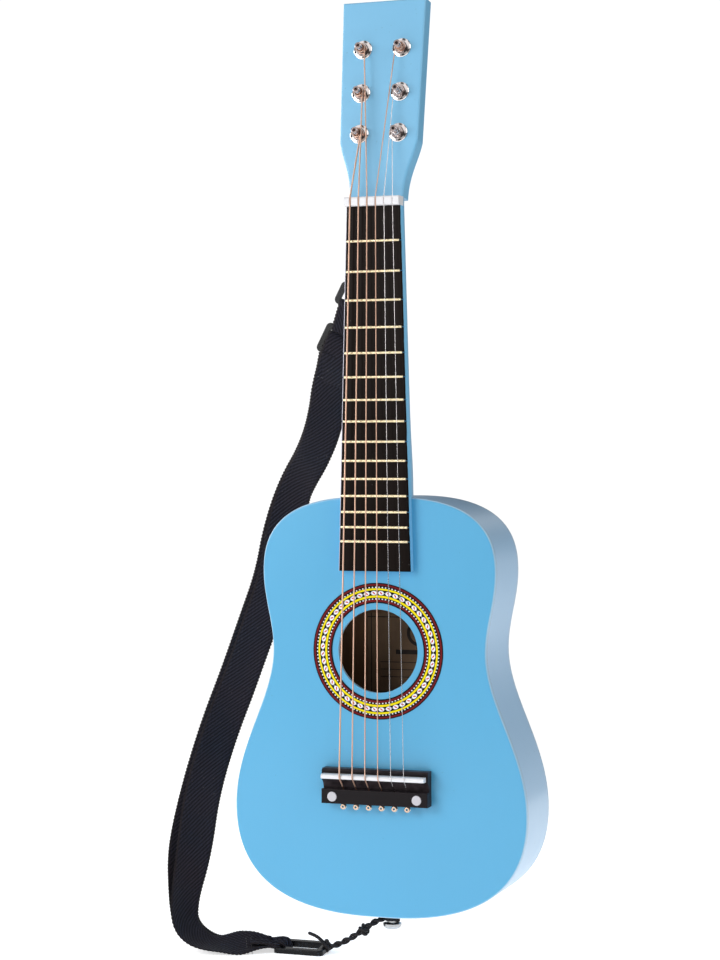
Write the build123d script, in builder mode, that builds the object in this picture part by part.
"""Toy acoustic guitar with six steel strings, friction tuners and a webbing strap.

Millimetres, +Z up along the neck, front of the guitar facing -Y.  The origin is on the front
plane of the neck, on its centre line, where a hanger holds the guitar under the headstock.
"""
import os
from math import cos, exp, radians, sin, tan

from build123d import *

os.makedirs("parts", exist_ok=True)

# ---- driving dimensions ------------------------------------------------------------------
TAIL_Z = -480.0  # lowest point of the sound box; the hanger is 480 mm above it
BODY_LENGTH = 276.0
BODY_DEPTH = 56.0
UPPER_BOUT = (80.4, 227.0)  # half width, height above the tail
WAIST = (73.6, 175.0)
LOWER_BOUT = (100.9, 70.0)
CROWN_FLAT = 12.0  # half width of the straight stretch where the neck joins
TAIL_FLAT = 6.0  # and of the one under the strap button
PLATE = 3.0  # thickness of the top and back plates
RIB = 3.0  # thickness of the bent sides
PLATE_ROUND = 1.3

HOLE_HEIGHT = 175.0
HOLE_R = 27.4
ROSETTE_INNER = 31.6
ROSETTE_OUTER = 44.8
ROSETTE_THICK = 0.25

SCALE_LENGTH = 374.0
SCALE_ZERO = 463.8  # height of the zero fret
BOARD_LOW = 227.7
BOARD_HIGH = 465.4
BOARD_LOW_WIDTH = 49.6
BOARD_HIGH_WIDTH = 37.1
BOARD_THICK = 6.5
FRET_COUNT = 15
FRET_CROWN_R = 0.9
FRET_TANG = (0.6, 2.0)

NUT_HIGH = 471.4
NUT_RISE = 10.3  # height of the nut above the front plane
NUT_SLOT_RISE = 9.4

BRIDGE_LOW = 75.0
BRIDGE_HIGH = 98.0
BRIDGE_HALF = 36.5
TIE_RISE = 9.0  # height of the tie block above the front plane
TIE_TOP = 84.5
STRING_HOLE_RISE = 6.0
STRING_HOLE_R = 0.9
SADDLE_HEIGHT = 93.2
SADDLE_THICK = 3.2
SADDLE_RISE = 13.5
SADDLE_HALF = 35.3
BRIDGE_SCREW_X = 29.1
BRIDGE_SCREW_HEIGHT = 79.6

STRING_DIAMETERS = (1.1, 0.95, 0.85, 0.7, 0.5, 0.45)
NUT_SPREAD = 28.9
SADDLE_SPREAD = 44.1

HEAD_TILT = 8.0
HEAD_THICK = 12.0
HEAD_LENGTH = 133.0
HEAD_TOP_HALF = 28.8
HEAD_LOW_HALF = 27.0
TUNER_X = 13.4
TUNER_ROWS = (43.0, 70.5, 100.0)  # along the headstock, from the nut
# post for each string, thick to thin: side and row
TUNER_OF_STRING = ((-1, 0), (-1, 1), (-1, 2), (1, 2), (1, 1), (1, 0))
POST_R = 2.2
POST_RUN = 0.05  # radial running clearance
POST_RISE = 11.0
WINDING_FLOOR = 3.8
WINDING_TURNS = (2, 2, 3, 3, 4, 4)
STRING_TARGET_RISE = 5.35
BUTTON_HALF = 9.0
BUTTON_TALL = 6.2

WEBBING_TUBE_R = 3.0  # same section area as the 25 mm webbing
TIE_CORD_R = 2.1


def up(height):
    """Row-frame Z of a height above the tail."""
    return TAIL_Z + height


def board_width(height):
    share = (height - BOARD_LOW) / (BOARD_HIGH - BOARD_LOW)
    return BOARD_LOW_WIDTH + share * (BOARD_HIGH_WIDTH - BOARD_LOW_WIDTH)


def front(depth):
    """Sketch plane facing the player, at a depth behind the front plane: x right, y up."""
    return Plane(origin=(0, depth, 0), x_dir=(1, 0, 0), z_dir=(0, -1, 0))


def head_plane(rise):
    """Plane on the tilted headstock: rise is measured out of its front face."""
    normal = Vector(0, -cos(radians(HEAD_TILT)), sin(radians(HEAD_TILT)))
    return Plane(origin=Vector(0, 0, up(NUT_HIGH)) + normal * rise, x_dir=(1, 0, 0), z_dir=normal)


def head_point(x, along, rise):
    return head_plane(rise).from_local_coords(Vector(x, along, 0))


def save(piece, label):
    piece.part.label = label
    export_step(piece.part, f"parts/{label}.step")


def body_half(inset):
    """Right half of the sound box outline, moved inwards by inset."""
    crown = up(BODY_LENGTH - inset)
    tail = up(inset)
    bout = (UPPER_BOUT[0] - inset, up(UPPER_BOUT[1]))
    waist = (WAIST[0] - inset, up(WAIST[1]))
    lower = (LOWER_BOUT[0] - inset, up(LOWER_BOUT[1]))
    Line((0, crown), (CROWN_FLAT, crown))
    Bezier((CROWN_FLAT, crown), (76.0 - inset, crown), (bout[0], bout[1] + 17.5), bout)
    Bezier(bout, (bout[0], bout[1] - 18.9), (waist[0], waist[1] + 18.2), waist)
    Bezier(waist, (waist[0], waist[1] - 33.3), (lower[0], lower[1] + 41.1), lower)
    Bezier(lower, (lower[0], lower[1] - 37.5), (80.0 - inset, tail), (TAIL_FLAT, tail))
    Line((TAIL_FLAT, tail), (0, tail))


def body_face(inset):
    """Both halves of the outline as a face in the current sketch."""
    with BuildLine() as outline:
        body_half(inset)
        Line((0, up(inset)), (0, up(BODY_LENGTH - inset)))
    make_face(outline.edges())
    mirror(about=Plane.YZ)


# ---- sound box ---------------------------------------------------------------------------
screw_spots = [(side * BRIDGE_SCREW_X, up(BRIDGE_SCREW_HEIGHT)) for side in (-1, 1)]

with BuildPart() as top_plate:
    with BuildSketch(front(PLATE)):
        body_face(0)
    extrude(amount=PLATE)
    rim = top_plate.faces().sort_by(Axis.Y)[0].outer_wire().edges()
    fillet(rim, PLATE_ROUND)
    with BuildSketch(front(PLATE + 1)):
        with Locations((0, up(HOLE_HEIGHT))):
            Circle(HOLE_R)
        with Locations(*screw_spots):
            Circle(1.6)
    extrude(amount=PLATE + 2, mode=Mode.SUBTRACT)
save(top_plate, "top_plate")

with BuildPart() as back_plate:
    with BuildSketch(front(BODY_DEPTH)):
        body_face(0)
    extrude(amount=PLATE)
    rim = back_plate.faces().sort_by(Axis.Y)[-1].outer_wire().edges()
    fillet(rim, PLATE_ROUND)
save(back_plate, "back_plate")

TENON = (20.0, 18.0, 16.0)  # width, depth, length of the neck tenon
TENON_DEPTH = 13.0  # depth of its middle behind the front plane
BUTTON_DEPTH = BODY_DEPTH / 2  # the tail strap button is at mid depth
BUTTON_SCREW_R = 1.5


def rib(side):
    with BuildPart() as piece:
        with BuildSketch(front(BODY_DEPTH - PLATE)):
            body_face(0)
            with BuildLine():
                body_half(RIB)
                Line((0, up(RIB)), (0, up(BODY_LENGTH - RIB)))
            inner = make_face(mode=Mode.PRIVATE)
            add(inner, mode=Mode.SUBTRACT)
            mirror(inner, about=Plane.YZ, mode=Mode.SUBTRACT)
            with Locations((-side * LOWER_BOUT[0], up(BODY_LENGTH / 2))):
                Rectangle(2 * LOWER_BOUT[0], 2 * BODY_LENGTH, mode=Mode.SUBTRACT)
        extrude(amount=BODY_DEPTH - 2 * PLATE)
        with Locations((0, TENON_DEPTH, up(BODY_LENGTH))):
            Box(TENON[0], TENON[1], 2 * TENON[2], mode=Mode.SUBTRACT)
        with BuildSketch(Plane.XY.offset(up(0) - 1)):
            with Locations((0, BUTTON_DEPTH)):
                Circle(BUTTON_SCREW_R + 0.2)
        extrude(amount=RIB + 2, mode=Mode.SUBTRACT)
    return piece


side_left = rib(-1)
save(side_left, "side_left")
side_right = rib(1)
save(side_right, "side_right")

BLOCK_HALF = 24.0
BLOCK_REACH = 24.0  # how far the end blocks reach into the sound box

with BuildPart() as neck_block:
    with BuildSketch(front(BODY_DEPTH - PLATE)):
        body_face(RIB)
        with Locations((0, up(BODY_LENGTH - RIB))):
            Rectangle(2 * BLOCK_HALF, 2 * BLOCK_REACH, mode=Mode.INTERSECT)
    extrude(amount=BODY_DEPTH - 2 * PLATE)
    with Locations((0, TENON_DEPTH, up(BODY_LENGTH))):
        Box(TENON[0], TENON[1], 2 * TENON[2], mode=Mode.SUBTRACT)
save(neck_block, "neck_block")

with BuildPart() as tail_block:
    with BuildSketch(front(BODY_DEPTH - PLATE)):
        body_face(RIB)
        with Locations((0, up(RIB))):
            Rectangle(2 * BLOCK_HALF, 2 * 14.0, mode=Mode.INTERSECT)
    extrude(amount=BODY_DEPTH - 2 * PLATE)
    with BuildSketch(Plane.XY.offset(up(0))):
        with Locations((0, BUTTON_DEPTH)):
            Circle(BUTTON_SCREW_R + 0.05)
    extrude(amount=30, mode=Mode.SUBTRACT)
save(tail_block, "tail_block")

LINING = 5.0


def lining(depth):
    """Glue strips that join a plate to the sides, one for each side."""
    with BuildPart() as piece:
        with BuildSketch(front(depth)):
            body_face(RIB)
            with BuildLine():
                body_half(RIB + LINING)
                Line((0, up(RIB + LINING)), (0, up(BODY_LENGTH - RIB - LINING)))
            inner = make_face(mode=Mode.PRIVATE)
            add(inner, mode=Mode.SUBTRACT)
            mirror(inner, about=Plane.YZ, mode=Mode.SUBTRACT)
            with Locations((0, up(0)), (0, up(BODY_LENGTH))):
                Rectangle(2 * BLOCK_HALF + 1, 2 * BLOCK_REACH + 10, mode=Mode.SUBTRACT)
        extrude(amount=LINING)
    return piece


save(lining(PLATE + LINING), "top_linings")
save(lining(BODY_DEPTH - PLATE), "back_linings")

BRACE_WIDTH = 7.0
BRACE_RISE = 8.0


def braces(depth, heights):
    """Cross bars glued inside a plate, between the linings."""
    with BuildPart() as piece:
        with BuildSketch(front(depth)):
            body_face(RIB + LINING + 0.5)
            with Locations(*[(0, up(h)) for h in heights]):
                Rectangle(2 * LOWER_BOUT[0], BRACE_WIDTH, mode=Mode.INTERSECT)
        extrude(amount=BRACE_RISE)
    return piece


save(braces(PLATE + BRACE_RISE, (212.0, 128.0)), "top_braces")
save(braces(BODY_DEPTH - PLATE, (228.0, 104.0)), "back_braces")

PATCH_THICK = 2.5
with BuildPart() as bridge_patch:
    with BuildSketch(front(PLATE + PATCH_THICK)):
        with Locations((0, up((BRIDGE_LOW + BRIDGE_HIGH) / 2))):
            RectangleRounded(92, 30, 3)
        with Locations(*screw_spots):
            Circle(1.6, mode=Mode.SUBTRACT)
    extrude(amount=PATCH_THICK)
save(bridge_patch, "bridge_patch")

with BuildPart() as rosette:
    with BuildSketch(front(0)):
        with Locations((0, up(HOLE_HEIGHT))):
            Circle(ROSETTE_OUTER)
            Circle(ROSETTE_INNER, mode=Mode.SUBTRACT)
    extrude(amount=ROSETTE_THICK)
save(rosette, "rosette")

with BuildPart() as sound_label:
    with BuildSketch(front(BODY_DEPTH - PLATE)):
        with Locations((6, up(168))):
            Rectangle(62, 56)
    extrude(amount=0.3)
save(sound_label, "sound_label")

# ---- neck, fretboard and nut -------------------------------------------------------------
NECK_LOW = 270.0
NECK_THIN = 14.0  # depth of the neck behind its front plane, at the nut
HEEL_EXTRA = 9.0  # how much deeper the heel is
HEEL_HEIGHT = 312.0  # middle of the heel's slope
NECK_SECTIONS = 12


def neck_depth(height):
    return NECK_THIN + (NUT_HIGH - height) / 130 + HEEL_EXTRA / (1 + exp((height - HEEL_HEIGHT) / 9))


def neck_section(height):
    half = board_width(min(height, BOARD_HIGH)) / 2
    depth = neck_depth(height)
    with BuildSketch(Plane.XY.offset(up(height))) as section:
        with BuildLine():
            Bezier((half, 0), (half * 1.02, depth * 4 / 3), (-half * 1.02, depth * 4 / 3), (-half, 0))
            Line((-half, 0), (half, 0))
        make_face()
    return section.sketch


with BuildPart() as body_solid:
    with BuildSketch(front(BODY_DEPTH)):
        body_face(0)
    extrude(amount=BODY_DEPTH + 5)

NECK_BUTTON_HEIGHT = 443.0
NECK_SEAT = 13.4  # depth of the flat seat under the neck's strap button

with BuildPart() as headstock:
    with BuildSketch(head_plane(-HEAD_THICK)):
        with BuildLine():
            half_nut = BOARD_HIGH_WIDTH / 2
            Line((0, 0), (half_nut, 0))
            Bezier((half_nut, 0), (half_nut, 17), (HEAD_LOW_HALF - 2.5, 25), (HEAD_LOW_HALF, 38))
            Line((HEAD_LOW_HALF, 38), (HEAD_TOP_HALF, HEAD_LENGTH))
            Line((HEAD_TOP_HALF, HEAD_LENGTH), (0, HEAD_LENGTH))
            Line((0, HEAD_LENGTH), (0, 0))
        make_face()
        mirror(about=Plane.YZ)
    extrude(amount=HEAD_THICK)
    for face in headstock.faces().filter_by(head_plane(0)):
        fillet(face.outer_wire().edges().filter_by(lambda e: e.center().Z > up(NUT_HIGH) + 1), 1.4)

with BuildPart() as neck:
    section_pitch = (NUT_HIGH - NECK_LOW) / (NECK_SECTIONS - 1)
    loft([neck_section(NECK_LOW + section_pitch * k) for k in range(NECK_SECTIONS)])
    add(body_solid.part, mode=Mode.SUBTRACT)
    with Locations((0, TENON_DEPTH, up(BODY_LENGTH - TENON[2] / 2 + 1))):
        Box(TENON[0], TENON[1], TENON[2] + 2)
    add(headstock.part)
    # tuner holes, square to the headstock's face
    with BuildSketch(head_plane(5)):
        with Locations(*[(side * TUNER_X, row) for side in (-1, 1) for row in TUNER_ROWS]):
            Circle(3.25)
    extrude(amount=-HEAD_THICK - 10, mode=Mode.SUBTRACT)
    # flat seat and pilot hole for the strap button
    with BuildSketch(front(NECK_SEAT)):
        with Locations((0, up(NECK_BUTTON_HEIGHT))):
            Circle(5.4)
    extrude(amount=-10, mode=Mode.SUBTRACT)
    with BuildSketch(front(NECK_SEAT - 10)):
        with Locations((0, up(NECK_BUTTON_HEIGHT))):
            Circle(BUTTON_SCREW_R + 0.05)
    extrude(amount=-20, mode=Mode.SUBTRACT)
save(neck, "neck")

fret_heights = [SCALE_ZERO - SCALE_LENGTH * (1 - 2 ** (-n / 12)) for n in range(1, FRET_COUNT + 1)]

with BuildPart() as fretboard:
    with BuildSketch(front(0)):
        with BuildLine():
            Polyline(
                (-BOARD_LOW_WIDTH / 2, up(BOARD_LOW)),
                (BOARD_LOW_WIDTH / 2, up(BOARD_LOW)),
                (BOARD_HIGH_WIDTH / 2, up(BOARD_HIGH)),
                (-BOARD_HIGH_WIDTH / 2, up(BOARD_HIGH)),
                close=True,
            )
        make_face()
    extrude(amount=BOARD_THICK)
    board_face = fretboard.faces().sort_by(Axis.Y)[0]
    chamfer(board_face.edges().filter_by(lambda e: e.length > BOARD_LOW_WIDTH + 1), 0.7)
    for height in fret_heights:
        with Locations((0, -BOARD_THICK, up(height))):
            Box(2 * BOARD_LOW_WIDTH, 2 * FRET_TANG[1], FRET_TANG[0], mode=Mode.SUBTRACT)
save(fretboard, "fretboard")

with BuildPart() as frets:
    for height in fret_heights:
        with BuildSketch(Plane.YZ):
            with Locations((-BOARD_THICK, up(height))):
                Circle(FRET_CROWN_R)
                with Locations((2, 0)):
                    Rectangle(4, 4, mode=Mode.SUBTRACT)
                with Locations((FRET_TANG[1] / 2 - 0.1, 0)):
                    Rectangle(FRET_TANG[1] - 0.1, FRET_TANG[0])
        extrude(amount=board_width(height) / 2 - 1.2, both=True)
save(frets, "frets")

string_range = range(len(STRING_DIAMETERS))
nut_x = [-NUT_SPREAD / 2 + NUT_SPREAD / 5 * i for i in string_range]
saddle_x = [-SADDLE_SPREAD / 2 + SADDLE_SPREAD / 5 * i for i in string_range]

with BuildPart() as nut:
    with BuildSketch(front(0)):
        with Locations((0, up((BOARD_HIGH + NUT_HIGH) / 2))):
            Rectangle(BOARD_HIGH_WIDTH + 0.3, NUT_HIGH - BOARD_HIGH)
    extrude(amount=NUT_RISE)
    fillet(nut.faces().sort_by(Axis.Y)[0].edges().filter_by(Axis.X), 1.0)
    for x, diameter in zip(nut_x, STRING_DIAMETERS):
        with Locations((x, -NUT_SLOT_RISE - 2, up((BOARD_HIGH + NUT_HIGH) / 2))):
            Box(diameter + 0.35, 4, 20, mode=Mode.SUBTRACT)
save(nut, "nut")

# ---- bridge and saddle -------------------------------------------------------------------
with BuildPart() as bridge:
    with BuildSketch(Plane.YZ.offset(-BRIDGE_HALF)):
        with BuildLine():
            cove_low = (-4.4, up(TIE_TOP))
            cove_high = (-8, up(SADDLE_HEIGHT - 2.4))
            Polyline(cove_low, (-TIE_RISE, up(TIE_TOP)), (-TIE_RISE, up(BRIDGE_LOW)), (0, up(BRIDGE_LOW)))
            Polyline((0, up(BRIDGE_LOW)), (0, up(BRIDGE_HIGH)), (-6.6, up(BRIDGE_HIGH)))
            Polyline((-6.6, up(BRIDGE_HIGH)), (-8, up(BRIDGE_HIGH - 1.6)), cove_high)
            ThreePointArc(cove_high, (-5.2, up(TIE_TOP + 3.2)), cove_low)
        make_face()
    extrude(amount=2 * BRIDGE_HALF)
    fillet(bridge.faces().sort_by(Axis.Y)[0].edges(), 0.5)
    with Locations((0, -8, up(SADDLE_HEIGHT))):
        Box(2 * SADDLE_HALF, 4, SADDLE_THICK, mode=Mode.SUBTRACT)
    for x in saddle_x:
        with BuildSketch(Plane.XY.offset(up(BRIDGE_LOW - 1))):
            with Locations((x, -STRING_HOLE_RISE)):
                Circle(STRING_HOLE_R)
        extrude(amount=TIE_TOP - BRIDGE_LOW + 2, mode=Mode.SUBTRACT)
    with BuildSketch(front(1)):
        with Locations(*screw_spots):
            Circle(1.6)
    extrude(amount=TIE_RISE + 2, mode=Mode.SUBTRACT)
    with BuildSketch(front(-5.6)):
        with Locations(*screw_spots):
            Circle(3.3)
    extrude(amount=6, mode=Mode.SUBTRACT)
save(bridge, "bridge")

with BuildPart() as saddle:
    with Locations((0, -(6 + SADDLE_RISE) / 2, up(SADDLE_HEIGHT))):
        Box(2 * SADDLE_HALF - 0.1, SADDLE_RISE - 6, SADDLE_THICK)
    fillet(saddle.edges().filter_by(Axis.X).group_by(Axis.Y)[0], SADDLE_THICK / 2 - 0.05)
save(saddle, "saddle")

with BuildPart() as bridge_screws:
    with BuildSketch(front(-5.6)):
        with Locations(*screw_spots):
            Circle(2.8)
    extrude(amount=2)
    with BuildSketch(front(-5.6)):
        with Locations(*screw_spots):
            Circle(1.5)
    extrude(amount=-15)
save(bridge_screws, "bridge_screws")

with BuildPart() as bridge_screw_caps:
    with BuildSketch(front(-7.7)):
        with Locations(*screw_spots):
            Circle(3.25)
    extrude(amount=1.7)
    cap_tops = bridge_screw_caps.faces().filter_by(Axis.Y).group_by(Axis.Y)[0]
    fillet([cap.outer_wire().edge() for cap in cap_tops], 0.5)
save(bridge_screw_caps, "bridge_screw_caps")

with BuildPart() as bridge_nuts:
    with BuildSketch(front(PLATE + PATCH_THICK + 2.4)):
        with Locations(*screw_spots):
            RegularPolygon(3.2, 6)
            Circle(1.55, mode=Mode.SUBTRACT)
    extrude(amount=2.4)
save(bridge_nuts, "bridge_nuts")

# ---- strings -----------------------------------------------------------------------------
BALL_R = 1.9
with BuildPart() as string_ball_ends:
    with BuildSketch(front(-STRING_HOLE_RISE + 1.5)):
        for x in saddle_x:
            with Locations((x, up(BRIDGE_LOW) - BALL_R - 0.02)):
                Circle(BALL_R)
                Circle(0.75, mode=Mode.SUBTRACT)
    extrude(amount=3)
    rims = string_ball_ends.edges().filter_by(GeomType.CIRCLE).filter_by(lambda e: e.radius > 1)
    fillet(rims, 0.5)
save(string_ball_ends, "string_ball_ends")

for i in string_range:
    r = STRING_DIAMETERS[i] / 2
    side, row = TUNER_OF_STRING[i]
    post_x = side * (TUNER_X - POST_R - r)
    stop = TUNER_ROWS[row] - 3.4  # the rest of the turn belongs to the winding
    share = stop / TUNER_ROWS[row]
    end_rise = NUT_SLOT_RISE + r + (STRING_TARGET_RISE - NUT_SLOT_RISE - r) * share
    tail_end = Vector(saddle_x[i], -STRING_HOLE_RISE, up(BRIDGE_LOW) + 0.05)
    hole_exit = Vector(saddle_x[i], -STRING_HOLE_RISE, up(TIE_TOP) + 0.5)
    crown = Vector(saddle_x[i], -(SADDLE_RISE + r + 0.4), up(SADDLE_HEIGHT) - 0.6)
    at_nut = Vector(nut_x[i], -(NUT_SLOT_RISE + r + 0.15), up(NUT_HIGH) + 0.4)
    string_end = head_point(nut_x[i] + (post_x - nut_x[i]) * share, stop, end_rise)
    with BuildPart() as string:
        with BuildLine() as route:
            FilletPolyline(tail_end, hole_exit, crown, at_nut, string_end, radius=(2.0, 2.4, 6.0))
        with BuildSketch(Plane(origin=route.line @ 0, z_dir=route.line % 0)):
            Circle(r)
        sweep()
    save(string, f"string_{i + 1}")

# ---- tuners ------------------------------------------------------------------------------
tuner_spots = [(side * TUNER_X, TUNER_ROWS[row]) for side, row in TUNER_OF_STRING]
WASHER_PROFILE = ((3.3, 0), (6.3, 0), (6.3, 0.6), (5.9, 0.9), (4.7, 1.3), (3.3, 1.3))
HEX_RISE = 3.5
FERRULE_R = 5.5


def tuner_plane(spot, rise=0.0):
    return Plane(origin=head_point(spot[0], spot[1], rise), x_dir=(1, 0, 0), z_dir=head_plane(0).z_dir)


def tuner_axis(spot):
    return Axis(head_point(spot[0], spot[1], 0), head_plane(0).z_dir)


def radial_plane(spot):
    """Plane through a tuner's axis: x outwards, y along the axis."""
    normal = head_plane(0).z_dir
    return Plane(origin=head_point(spot[0], spot[1], 0), x_dir=(1, 0, 0), z_dir=Vector(1, 0, 0).cross(normal))


with BuildPart() as tuner_washers:
    for spot in tuner_spots:
        with BuildSketch(radial_plane(spot)):
            with BuildLine():
                Polyline(*WASHER_PROFILE, close=True)
            make_face()
        revolve(axis=tuner_axis(spot))
save(tuner_washers, "tuner_washers")

with BuildPart() as tuner_bushings:
    for spot in tuner_spots:
        with BuildSketch(tuner_plane(spot, 1.3)):
            RegularPolygon(4.3, 6)
            Circle(POST_R + POST_RUN, mode=Mode.SUBTRACT)
        extrude(amount=HEX_RISE - 1.3)
        with BuildSketch(tuner_plane(spot, -6.0)):
            Circle(3.2)
            Circle(POST_R + POST_RUN, mode=Mode.SUBTRACT)
        extrude(amount=7.3)
save(tuner_bushings, "tuner_bushings")

with BuildPart() as tuner_back_ferrules:
    for spot in tuner_spots:
        with BuildSketch(tuner_plane(spot, -HEAD_THICK - 1.5)):
            Circle(FERRULE_R)
            Circle(POST_R + POST_RUN, mode=Mode.SUBTRACT)
        extrude(amount=1.5)
        with BuildSketch(tuner_plane(spot, -HEAD_THICK)):
            Circle(3.2)
            Circle(POST_R + POST_RUN, mode=Mode.SUBTRACT)
        extrude(amount=5)
save(tuner_back_ferrules, "tuner_back_ferrules")

BUTTON_START = -HEAD_THICK - 1.9
for i, spot in enumerate(tuner_spots):
    with BuildPart() as tuner_post:
        with BuildSketch(tuner_plane(spot, BUTTON_START - 7)):
            Circle(POST_R)
        extrude(amount=POST_RISE - BUTTON_START + 7)
        chamfer(tuner_post.edges().filter_by(GeomType.CIRCLE).sort_by(Axis.Y)[0], 0.3)
        with BuildSketch(tuner_plane(spot, POST_RISE - 2.5)):
            Circle(1.1)
        extrude(amount=5, mode=Mode.SUBTRACT)
        with BuildSketch(Plane(origin=head_point(spot[0], spot[1], POST_RISE - 2.9), z_dir=(1, 0, 0))):
            Circle(0.7)
        extrude(amount=POST_R + 1, both=True, mode=Mode.SUBTRACT)
    save(tuner_post, f"tuner_post_{i + 1}")

    with BuildPart() as tuner_button:
        with BuildSketch(radial_plane(spot)):
            with Locations((0, BUTTON_START - 2.6 - BUTTON_TALL)):
                Ellipse(BUTTON_HALF, BUTTON_TALL)
        extrude(amount=3.0, both=True)
        fillet(tuner_button.faces().filter_by(radial_plane(spot)).edges(), 1.2)
        with BuildSketch(tuner_plane(spot, BUTTON_START - 3.8)):
            Circle(3.4)
        extrude(amount=3.8)
        with BuildSketch(tuner_plane(spot, BUTTON_START - 7)):
            Circle(POST_R)
        extrude(amount=10, mode=Mode.SUBTRACT)
    save(tuner_button, f"tuner_button_{i + 1}")

    r = STRING_DIAMETERS[i] / 2
    turns = WINDING_TURNS[i]
    with BuildPart() as tuner_winding:
        with BuildSketch(radial_plane(spot)):
            with Locations((POST_R + r / 2, WINDING_FLOOR + turns * r)):
                Rectangle(r, 2 * r * turns)
            with Locations(*[(POST_R + r, WINDING_FLOOR + r + 2 * r * k) for k in range(turns)]):
                Circle(r)
        revolve(axis=tuner_axis(spot))
    save(tuner_winding, f"tuner_winding_{i + 1}")

# ---- strap hardware ----------------------------------------------------------------------
# radius and distance from the seat
BUTTON_PROFILE = ((1.7, 0), (5.0, 0), (5.0, 1.2), (3.2, 2.0), (3.0, 8.2), (6.2, 9.0), (6.2, 10.4))
tail_seat = Plane(origin=(0, BUTTON_DEPTH, up(0)), x_dir=(1, 0, 0), z_dir=(0, 0, -1))
neck_seat = Plane(origin=(0, NECK_SEAT, up(NECK_BUTTON_HEIGHT)), x_dir=(1, 0, 0), z_dir=(0, 1, 0))

with BuildPart() as strap_buttons:
    for seat in (tail_seat, neck_seat):
        with BuildSketch(Plane(origin=seat.origin, x_dir=seat.x_dir, z_dir=seat.x_dir.cross(seat.z_dir))):
            with BuildLine():
                Polyline(*BUTTON_PROFILE)
                ThreePointArc(BUTTON_PROFILE[-1], (4.6, 12.2), (2.7, 12.6))
                Polyline((2.7, 12.6), (1.7, 11.0), (1.7, 0))
            make_face()
        revolve(axis=Axis(seat.origin, seat.z_dir))
save(strap_buttons, "strap_buttons")

with BuildPart() as strap_button_screws:
    for seat, reach in ((tail_seat, 14.0), (neck_seat, 9.0)):
        with BuildSketch(seat.offset(-reach)):
            Circle(BUTTON_SCREW_R)
        extrude(amount=reach + 11.0)
        with BuildSketch(seat.offset(11.0)):
            Circle(1.6)
        with BuildSketch(seat.offset(12.5)):
            Circle(2.6)
        loft()
save(strap_button_screws, "strap_button_screws")


def loop_frame(plane, width, height, bar, thick, cross_bar=0.0):
    """A moulded strap loop: rounded frame, with a middle bar on a slider."""
    with BuildPart() as piece:
        with BuildSketch(plane.offset(-thick / 2)):
            RectangleRounded(width, height, 3.2)
            RectangleRounded(width - 2 * bar, height - 2 * bar, 1.2, mode=Mode.SUBTRACT)
            if cross_bar:
                Rectangle(width - bar, cross_bar)
        extrude(amount=thick)
        outer = piece.faces().filter_by(plane).group_by(lambda f: (f.center() - plane.origin).dot(plane.z_dir))
        fillet([e for group in (outer[0], outer[-1]) for f in group for e in f.outer_wire().edges()], 0.8)
    return piece


HANG = radians(27)  # the upper end of the strap leans this far from the vertical
lean_x = Vector(cos(HANG), 0, -sin(HANG))
lean_up = Vector(sin(HANG), 0, cos(HANG))
slider_plane = Plane(origin=(-32.4, 26.5, up(376.0)), x_dir=lean_x, z_dir=(0, -1, 0))
upper_ring_plane = Plane(origin=(-19.8, 24.5, up(405.4)), x_dir=lean_x, z_dir=(0, -1, 0))
lower_ring_plane = Plane(origin=(-61.5, 21.0, up(-28.4)), x_dir=(1, 0, 0), z_dir=(0, -0.12, 1))

save(loop_frame(slider_plane, 34, 21, 3.6, 3.2, cross_bar=3.6), "strap_slider")
save(loop_frame(upper_ring_plane, 34, 16, 3.6, 3.2), "strap_upper_ring")
save(loop_frame(lower_ring_plane, 35, 21, 4.2, 4.4), "strap_lower_ring")

# short doubled stretch of webbing between the slider and the upper ring
loop_low = slider_plane.origin + lean_up * 10.3
loop_high = upper_ring_plane.origin - lean_up * 7.8
loop_axis = loop_high - loop_low
with BuildPart() as strap_upper_loop:
    with BuildSketch(Plane(origin=loop_low, x_dir=lean_x, z_dir=lean_up)):
        Rectangle(24, 2.4)
    extrude(amount=loop_axis.length, dir=loop_axis)
save(strap_upper_loop, "strap_upper_loop")


# ---- soft cords --------------------------------------------------------------------------
def bend_radii(points):
    """Each arc is as large as its two runs allow."""
    radii = []
    for before, here, after in zip(points, points[1:], points[2:]):
        turn = radians((here - before).get_angle(after - here))
        radii.append(0.45 * min((here - before).length, (after - here).length) / tan(turn / 2))
    return radii


def cord_tube(label, points, radius):
    radii = bend_radii(points)
    with BuildLine(mode=Mode.PRIVATE) as route:
        FilletPolyline(*points, radius=radii)
    with BuildSketch(Plane(origin=route.line @ 0, z_dir=route.line % 0), mode=Mode.PRIVATE) as section:
        Circle(radius)
    sweep(section.sketch, path=route.line)
    length = sum(edge.length for edge in route.edges())
    print(label, "length", round(length, 1), "radii", [round(value, 1) for value in radii])


def route_points(rows):
    return [Vector(x, y, up(height)) for x, y, height in rows]


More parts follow.
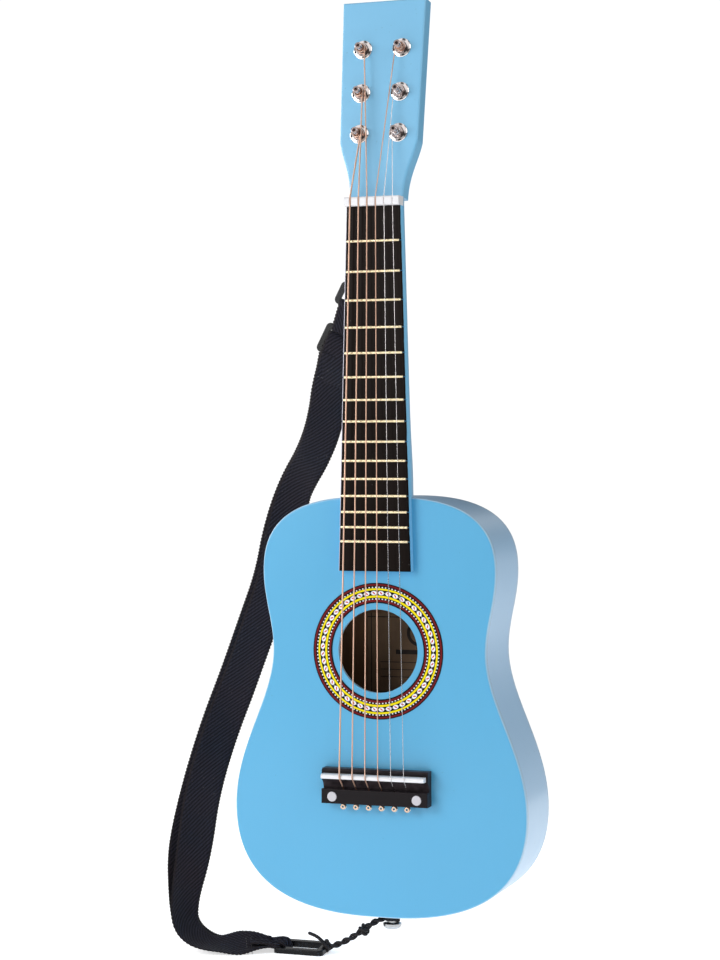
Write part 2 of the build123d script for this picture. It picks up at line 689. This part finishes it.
# across, behind the front plane, height above the tail
FRONT_LAYER = (
    (-38, 23.8, 368),
    (-43.5, 31, 352),
    (-50, 41, 330),
    (-62, 52, 305),
    (-80, 62, 282),
    (-91, 66, 252),
    (-97, 67, 218),
    (-109, 66, 186),
    (-121, 62, 150),
    (-134, 53, 112),
    (-142, 40, 72),
    (-145, 26, 32),
    (-146, 13, 0),
    (-141, 4, -17),
    (-125, 1, -27.5),
    (-105, 6, -27),
    (-88, 13, -24),
    (-77, 18, -28),
)
BACK_LAYER = (
    (-39, 30.6, 369),
    (-45.5, 39, 352),
    (-53, 50, 330),
    (-66, 61.5, 305),
    (-84.5, 71, 281),
    (-97, 75, 251),
    (-104, 76, 218),
    (-116, 75, 186),
    (-128, 71, 150),
    (-140.5, 62, 112),
    (-148.5, 49, 72),
    (-152, 34.5, 32),
    (-153, 20, -1),
    (-147, 12, -19),
    (-128, 9.5, -28),
    (-108, 14.5, -27.8),
    (-91, 20.5, -27.2),
    (-78, 25.5, -28),
)
LOWER_TIE = (
    (-4.6, 28, -5.2),
    (-12, 27.4, -8.5),
    (-20, 26.6, -14.5),
    (-29, 25.2, -21),
    (-38, 23.4, -25.5),
    (-45.0, 21.6, -27.4),
)
UPPER_TIE = (
    (-1.2, 18.4, 438),
    (-5, 19.5, 431),
    (-10.8, 22, 421.5),
    (-16.2, 24.5, 411.4),
)

with BuildPart() as strap_front_layer:
    cord_tube("front layer", route_points(FRONT_LAYER), WEBBING_TUBE_R)
save(strap_front_layer, "strap_front_layer")

with BuildPart() as strap_back_layer:
    cord_tube("back layer", route_points(BACK_LAYER), WEBBING_TUBE_R)
save(strap_back_layer, "strap_back_layer")

LOOP_R = 5.2  # the cord's loop round a strap button's shank
KNOT_R = 4.6
KNOTS = ((-19.5, 26.6, -14.4, (-8, -0.9, -6)), (-44.5, 21.8, -26.3, (-7, -1.8, -1.9)))
with BuildPart() as tie_cord_lower:
    cord_tube("lower tie cord", route_points(LOWER_TIE), TIE_CORD_R)
    with Locations((0, BUTTON_DEPTH, up(-5.1))):
        Torus(LOOP_R, TIE_CORD_R - 0.1)
    for x, y, height, along in KNOTS:
        with Locations(Plane(origin=(x, y, up(height)), z_dir=along)):
            Sphere(KNOT_R)
save(tie_cord_lower, "tie_cord_lower")

with BuildPart() as tie_cord_upper:
    cord_tube("upper tie cord", route_points(UPPER_TIE), TIE_CORD_R)
    with Locations((0, NECK_SEAT + 5.1, up(NECK_BUTTON_HEIGHT))):
        Torus(LOOP_R, TIE_CORD_R - 0.1, rotation=(90, 0, 0))
save(tie_cord_upper, "tie_cord_upper")
